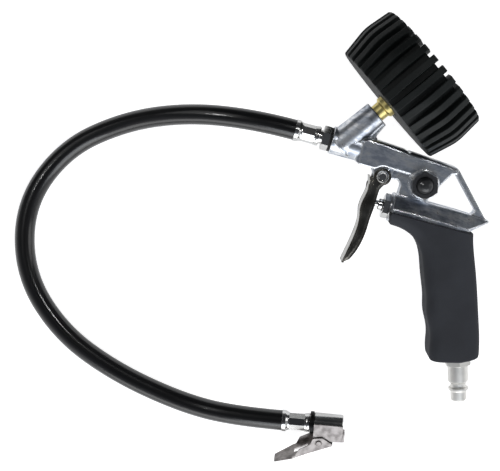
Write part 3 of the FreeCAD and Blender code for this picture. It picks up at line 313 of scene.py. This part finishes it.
def edge_wear(tree):
    """1 along outside edges and 0 on flat faces: how far the rounded normal leaves the true one."""
    true_normal = tree.nodes.new("ShaderNodeNewGeometry")
    product = tree.nodes.new("ShaderNodeVectorMath")
    product.operation = "DOT_PRODUCT"
    tree.links.new(rounded_normal(tree, WEAR_AND_HIGHLIGHT_R), product.inputs[0])
    tree.links.new(true_normal.outputs["Normal"], product.inputs[1])
    return spread(tree, product.outputs["Value"], 1.0, 0.0, WEAR_AND_HIGHLIGHT_FULL, WEAR_AND_HIGHLIGHT_NONE)


def varied(tree, value, roughness, shares):
    """A roughness that varies with a value, between two shares of itself."""
    least, most = shares
    return spread(tree, value, roughness * least, roughness * most)


def metal(name, tones, roughness, grain=900.0, blotches=60.0, rounded=0.00025):
    """A metal whose colour and roughness vary over it, with fine marks and softened edges."""
    made, tree, shader, place = material(name)
    broad = noise(tree, place, blotches)
    fine = noise(tree, place, grain, detail=4.0)
    dark, light = tones
    colour = ramp(tree, broad, [(0.35, dark), (0.65, light)])
    tree.links.new(colour, shader.inputs["Base Color"])
    tree.links.new(varied(tree, broad, roughness, METAL_GLOSS_SPREAD), shader.inputs["Roughness"])
    shader.inputs["Metallic"].default_value = 1.0
    edges = rounded_normal(tree, rounded, METAL_EDGE_SAMPLES)
    marks = relief(tree, fine, METAL_RELIEF_STRENGTH, METAL_RELIEF, edges)
    tree.links.new(marks, shader.inputs["Normal"])
    return made


def cast_metal():
    """Tumbled aluminium: slate grey, streaked along the barrel, mottled, and white along its edges,
    partly as wear and partly as a painted highlight.
    """
    made, tree, shader, place = material("cast_polished")
    turned = tree.nodes.new("ShaderNodeMapping")
    turned.inputs["Rotation"].default_value = (0.0, 0.0, STREAK_TURN)
    tree.links.new(place, turned.inputs["Vector"])
    along = turned.outputs["Vector"]
    streaks = noise(tree, along, STREAKS, detail=4.0, roughness=0.6, stretch=STREAK_STRETCH)
    blotches = noise(tree, place, BLOTCHES, roughness=0.6)
    pits = noise(tree, place, PITS, roughness=0.6)
    both = times_plus(tree, streaks, STREAK_SHARE, spread(tree, blotches, 0.0, BLOTCH_SHARE))
    wear_and_highlight = edge_wear(tree)
    # The outside edges go white: partly wear, partly a painted highlight.
    colour = mixed(tree, wear_and_highlight, ramp(tree, both, CAST_TONES), WEAR_AND_HIGHLIGHT_TONE)
    tree.links.new(colour, shader.inputs["Base Color"])
    unworn = spread(tree, both, CAST_DULL, CAST_BRIGHT, CAST_DULL_BELOW, CAST_BRIGHT_ABOVE)
    roughness = times_plus(tree, wear_and_highlight, WORN_SMOOTHER, unworn)
    tree.links.new(roughness, shader.inputs["Roughness"])
    shader.inputs["Metallic"].default_value = 1.0
    edges = rounded_normal(tree, CAST_EDGE_R)
    uneven = relief(tree, streaks, STREAK_STRENGTH, STREAK_RELIEF, edges)
    tree.links.new(relief(tree, pits, PIT_STRENGTH, PIT_RELIEF, uneven), shader.inputs["Normal"])
    return made


def rubber(name, colour, roughness, grain, strength, gloss=0.2, rounded=0.0):
    """A moulded rubber: an even dark colour with a fine grain."""
    made, tree, shader, place = material(name)
    broad = noise(tree, place, RUBBER_BLOTCHES)
    fine = noise(tree, place, grain, detail=2.0)
    lighter = tuple(channel * 1.4 + 0.001 for channel in colour)
    tone = ramp(tree, broad, [(0.3, colour), (0.75, lighter)])
    tree.links.new(tone, shader.inputs["Base Color"])
    tree.links.new(varied(tree, broad, roughness, RUBBER_GLOSS_SPREAD), shader.inputs["Roughness"])
    shader.inputs["Specular IOR Level"].default_value = gloss
    edges = rounded_normal(tree, rounded) if rounded > 0.0 else None
    tree.links.new(relief(tree, fine, strength, RUBBER_RELIEF, edges), shader.inputs["Normal"])
    return made


def hose_rubber():
    """Black rubber with the fine print of a cloth wrap, and a thin gloss over it."""
    made = rubber("rubber_hose", HOSE_RUBBER, roughness=0.3, grain=1300.0, strength=0.45, gloss=0.32)
    shader = made.node_tree.nodes["Principled BSDF"]
    shader.inputs["Coat Weight"].default_value = HOSE_COAT
    shader.inputs["Coat Roughness"].default_value = HOSE_COAT_ROUGHNESS
    print_normal = shader.inputs["Normal"].links[0].from_socket
    made.node_tree.links.new(print_normal, shader.inputs["Coat Normal"])
    return made


def plain_plastic(name, colour, roughness):
    """A glossy moulded plastic, a little uneven in its gloss."""
    made, tree, shader, place = material(name)
    broad = noise(tree, place, PLASTIC_BLOTCHES)
    tree.links.new(varied(tree, broad, roughness, PLASTIC_GLOSS_SPREAD), shader.inputs["Roughness"])
    shader.inputs["Base Color"].default_value = (*colour, 1)
    shader.inputs["Coat Weight"].default_value = PLASTIC_COAT
    grain = noise(tree, place, PLASTIC_GRAIN)
    marks = relief(tree, grain, PLASTIC_RELIEF_STRENGTH, PLASTIC_RELIEF)
    tree.links.new(marks, shader.inputs["Normal"])
    return made


def even_colour(name, colour, blotches, least, most):
    """One colour, with a roughness that varies over it from the least to the most."""
    made, tree, shader, place = material(name)
    shader.inputs["Base Color"].default_value = (*colour, 1)
    broad = noise(tree, place, blotches)
    tree.links.new(spread(tree, broad, least, most), shader.inputs["Roughness"])
    return made


def clear_lens():
    """Clear acrylic."""
    made = even_colour("lens_clear", LENS_TINT, blotches=300.0, least=0.01, most=0.05)
    shader = made.node_tree.nodes["Principled BSDF"]
    shader.inputs["Transmission Weight"].default_value = 1.0
    shader.inputs["IOR"].default_value = LENS_IOR
    return made


def assign(made, *names):
    """Gives a material to nodes."""
    for name in names:
        slots = nodes[name].data.materials
        slots.clear()
        slots.append(made)


def finishes():
    """Each node's own finish."""
    assign(cast_metal(), "body_casting")
    assign(rubber("rubber_grip", GRIP_RUBBER, roughness=0.7, grain=1400.0, strength=0.5,
                  rounded=0.0008),
           "grip_sleeve")
    assign(rubber("rubber_boot", BOOT_RUBBER, roughness=0.5, grain=700.0, strength=0.4, gloss=0.22,
                  rounded=0.0007),
           "gauge_boot")
    assign(rubber("rubber_seal", SEAL_RUBBER, roughness=0.5, grain=900.0, strength=0.3),
           "stem_seal", "bleed_seal", "inlet_seal", "chuck_seal", "union_washer")
    assign(metal("trigger_steel", TRIGGER_TONES, roughness=0.16, grain=700.0, blotches=120.0,
                 rounded=0.0032),
           "trigger_lever")
    assign(metal("chrome", CHROME_TONES, roughness=0.14),
           "trigger_pivot_rivet", "valve_stem", "valve_gland_nut", "hose_union", "gun_ferrule",
           "gauge_bezel", "chuck_ferrule", "chuck_body")
    assign(metal("steel", STEEL_TONES, roughness=0.3),
           "gland_washer", "valve_spring", "bleed_spring", "dial_screws", "chuck_lever_spring")
    assign(metal("blackened_steel", BLACKENED_TONES, roughness=0.35), "chuck_barb")
    assign(metal("nickel", NICKEL_TONES, roughness=0.42), "inlet_plug")
    assign(metal("brass", BRASS_TONES, roughness=0.36),
           "gauge_socket", "valve_seat", "valve_plug", "pinion_arbor", "sector_gear", "gauge_link",
           "bourdon_tube", "movement_back_plate", "movement_front_plate", "movement_posts",
           "chuck_core_pin")
    assign(plain_plastic("black_gloss", CAP_BLACK, roughness=0.26), "bleed_cap")
    assign(plain_plastic("black_button", BUTTON_BLACK, roughness=0.42), "bleed_button")
    assign(plain_plastic("black_enamel", ENAMEL_BLACK, roughness=0.4), "gauge_case", "gauge_pointer")
    assign(even_colour("dial_white", DIAL_WHITE, blotches=200.0, least=0.35, most=0.5), "gauge_dial")
    assign(clear_lens(), "gauge_lens")
    assign(metal("clip_plate", CLIP_TONES, roughness=0.36, grain=1100.0, blotches=260.0),
           "chuck_bracket", "chuck_lever", "chuck_pivot_pin")


def dial_axes():
    """The middle of the dial's print, just proud of the enamel, and up and right as it is read."""
    out = -Vector(joints["pointer_turn"]["axis"])
    side = Vector(joints["trigger_pull"]["axis"])
    pivot = Vector(joints["pointer_turn"]["pos_m"])
    up = side.cross(out).normalized()
    front = max((vertex.co - pivot).dot(out) for vertex in nodes["gauge_dial"].data.vertices)
    return pivot + out * front + out * PRINT_LIFT, up, up.cross(out)


def dial_point(dial, radius, angle, across=0.0):
    """A point at a radius and an angle, clockwise from the top, and some way across that spoke."""
    middle, up, right = dial
    spoke = up * math.cos(angle) + right * math.sin(angle)
    ring_way = right * math.cos(angle) - up * math.sin(angle)
    return middle + spoke * radius + ring_way * across


def add_quad(points, faces, corners):
    """Adds a face with its own four corners."""
    first = len(points)
    points.extend(corners)
    faces.append((first, first + 1, first + 2, first + 3))


def add_tick(points, faces, dial, angle, inner, outer, width):
    """Adds a mark along a spoke of the dial."""
    sides = ((inner, -width), (inner, width), (outer, width), (outer, -width))
    corners = [dial_point(dial, radius, angle, across / 2) for radius, across in sides]
    add_quad(points, faces, corners)


def add_ring(points, faces, dial, radius, width):
    """Adds the line that a scale's marks stand on."""
    for step in range(RING_STEPS):
        a = DIAL_SWEEP * (step / RING_STEPS - 0.5)
        b = DIAL_SWEEP * ((step + 1) / RING_STEPS - 0.5)
        corners = [dial_point(dial, radius, a), dial_point(dial, radius, b),
                   dial_point(dial, radius + width, b), dial_point(dial, radius + width, a)]
        add_quad(points, faces, corners)


def add_number(points, faces, dial, number, radius, angle, height):
    """Adds upright figures, centred on a place of the dial."""
    curve = bpy.data.curves.new("figures", "FONT")
    curve.body = str(number)
    curve.size = height
    curve.align_x = "CENTER"
    curve.align_y = "CENTER"
    figures = new_object("figures", curve)
    bpy.context.view_layer.update()
    evaluated = figures.evaluated_get(bpy.context.evaluated_depsgraph_get())
    flat = bpy.data.meshes.new_from_object(evaluated)
    first = len(points)
    _, up, right = dial
    centre = dial_point(dial, radius, angle)
    points.extend(centre + right * corner.co.x + up * corner.co.y for corner in flat.vertices)
    faces.extend(tuple(first + index for index in face.vertices) for face in flat.polygons)
    bpy.data.objects.remove(figures)
    bpy.data.curves.remove(curve)
    bpy.data.meshes.remove(flat)


def outer_scale(points, faces, dial):
    """Marks at the fifths of each whole, and every other whole's number."""
    for step in range(OUTER_FULL * OUTER_PARTS + 1):
        angle = DIAL_SWEEP * (step / (OUTER_FULL * OUTER_PARTS) - 0.5)
        if step % OUTER_PARTS:
            add_tick(points, faces, dial, angle, PART_TICK_FROM, OUTER_R, PART_TICK_WIDTH)
            continue
        add_tick(points, faces, dial, angle, WHOLE_TICK_FROM, OUTER_R, WHOLE_TICK_WIDTH)
        whole = step // OUTER_PARTS
        if whole % FIGURES_EACH == 0:
            add_number(points, faces, dial, whole, OUTER_FIGURES_R, angle, OUTER_FIGURES)


def inner_scale(points, faces, dial):
    """Marks at the tens, and every other ten's number."""
    for value in range(0, INNER_FULL + 1, INNER_STEP):
        angle = DIAL_SWEEP * (value / INNER_SWEEP - 0.5)
        add_tick(points, faces, dial, angle, INNER_TICK_FROM, INNER_R, INNER_TICK_WIDTH)
        if value % (FIGURES_EACH * INNER_STEP) == 0:
            add_number(points, faces, dial, value, INNER_FIGURES_R, angle, INNER_FIGURES)


def dial_print():
    """The dial's printing: two rings of marks and plain numbers."""
    dial = dial_axes()
    points, faces = [], []
    outer_scale(points, faces, dial)
    inner_scale(points, faces, dial)
    add_ring(points, faces, dial, OUTER_R, OUTER_LINE)
    add_ring(points, faces, dial, INNER_R, INNER_LINE)
    mesh = bpy.data.meshes.new("dial_print")
    mesh.from_pydata([tuple(point) for point in points], [], faces)
    mesh.materials.append(even_colour("dial_ink", DIAL_INK, blotches=900.0, least=0.35, most=0.55))
    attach(new_object("dial_print", mesh), "gun")


def camera():
    """The camera straight above the table."""
    data = bpy.data.cameras.new("camera")
    data.lens = LENS_MM
    data.sensor_width = SENSOR_MM
    data.clip_start = CLIP_START
    seen_from = new_object("camera", data)
    seen_from.location = CAMERA_AT
    bpy.context.scene.camera = seen_from


def lights():
    """The rectangular lamps."""
    for name, at, toward, width, height, power, colour in LAMPS:
        data = bpy.data.lights.new(name, "AREA")
        data.shape = "RECTANGLE"
        data.size = width
        data.size_y = height
        data.energy = power
        data.color = colour
        lamp = new_object(name, data)
        lamp.location = at
        facing = Vector(toward) - Vector(at)
        lamp.rotation_euler = facing.to_track_quat("-Z", "Y").to_euler()


def world():
    """White to the camera; elsewhere it darkens from the table's edge up to a grey ceiling."""
    made = bpy.data.worlds.new("studio")
    made.use_nodes = True
    tree = made.node_tree
    path = tree.nodes.new("ShaderNodeLightPath")
    place = tree.nodes.new("ShaderNodeTexCoord")
    parts = tree.nodes.new("ShaderNodeSeparateXYZ")
    tree.links.new(place.outputs["Generated"], parts.inputs["Vector"])
    shaded = tree.nodes.new("ShaderNodeMix")
    shaded.data_type = "RGBA"
    shaded.blend_type = "MULTIPLY"
    shaded.inputs["Factor"].default_value = 1.0
    front_to_back = spread(tree, parts.outputs["Y"], 0.0, 1.0, -1.0, 1.0)
    tree.links.new(ramp(tree, parts.outputs["Z"], SKY_BY_HEIGHT), shaded.inputs["A"])
    tree.links.new(ramp(tree, front_to_back, SKY_BY_SIDE), shaded.inputs["B"])
    seen = mixed(tree, path.outputs["Is Camera Ray"], shaded.outputs["Result"], WHITE)
    tree.links.new(seen, tree.nodes["Background"].inputs["Color"])
    bpy.context.scene.world = made


def table_white():
    """White that takes a faint shadow: part of it glows to the camera, to gloss and to glass."""
    made = bpy.data.materials.new("table_white")
    made.use_nodes = True
    tree = made.node_tree
    tree.nodes.remove(tree.nodes["Principled BSDF"])
    path = tree.nodes.new("ShaderNodeLightPath")
    seen = path.outputs["Is Camera Ray"]
    for name in ("Is Glossy Ray", "Is Transmission Ray"):
        either = tree.nodes.new("ShaderNodeMath")
        either.operation = "MAXIMUM"
        tree.links.new(seen, either.inputs[0])
        tree.links.new(path.outputs[name], either.inputs[1])
        seen = either.outputs["Value"]
    strength = times_plus(tree, path.outputs["Is Camera Ray"], TABLE_GLOW - TABLE_GLOW_IN_METAL,
                          spread(tree, seen, 0.0, TABLE_GLOW_IN_METAL))
    diffuse = tree.nodes.new("ShaderNodeBsdfDiffuse")
    diffuse.inputs["Color"].default_value = (*TABLE_WHITE, 1)
    glow = tree.nodes.new("ShaderNodeEmission")
    glow.inputs["Color"].default_value = (*WHITE, 1)
    tree.links.new(strength, glow.inputs["Strength"])
    both = tree.nodes.new("ShaderNodeAddShader")
    tree.links.new(diffuse.outputs["BSDF"], both.inputs[0])
    tree.links.new(glow.outputs["Emission"], both.inputs[1])
    tree.links.new(both.outputs["Shader"], tree.nodes["Material Output"].inputs["Surface"])
    return made


def table():
    """The white table that the object lies on."""
    mesh = bpy.data.meshes.new("table_top")
    corners = [(-TABLE_REACH, -TABLE_REACH, 0), (TABLE_REACH, -TABLE_REACH, 0),
               (TABLE_REACH, TABLE_REACH, 0), (-TABLE_REACH, TABLE_REACH, 0)]
    mesh.from_pydata(corners, [], [(0, 1, 2, 3)])
    mesh.materials.append(table_white())
    top = new_object("table_top", mesh)
    top.location.z = -TABLE_DROP


camera()
air_hose()
finishes()
return_spring("valve_spring")
return_spring("bleed_spring")
dial_print()
lights()
world()
table()

bpy.context.scene.view_settings.view_transform = "Standard"
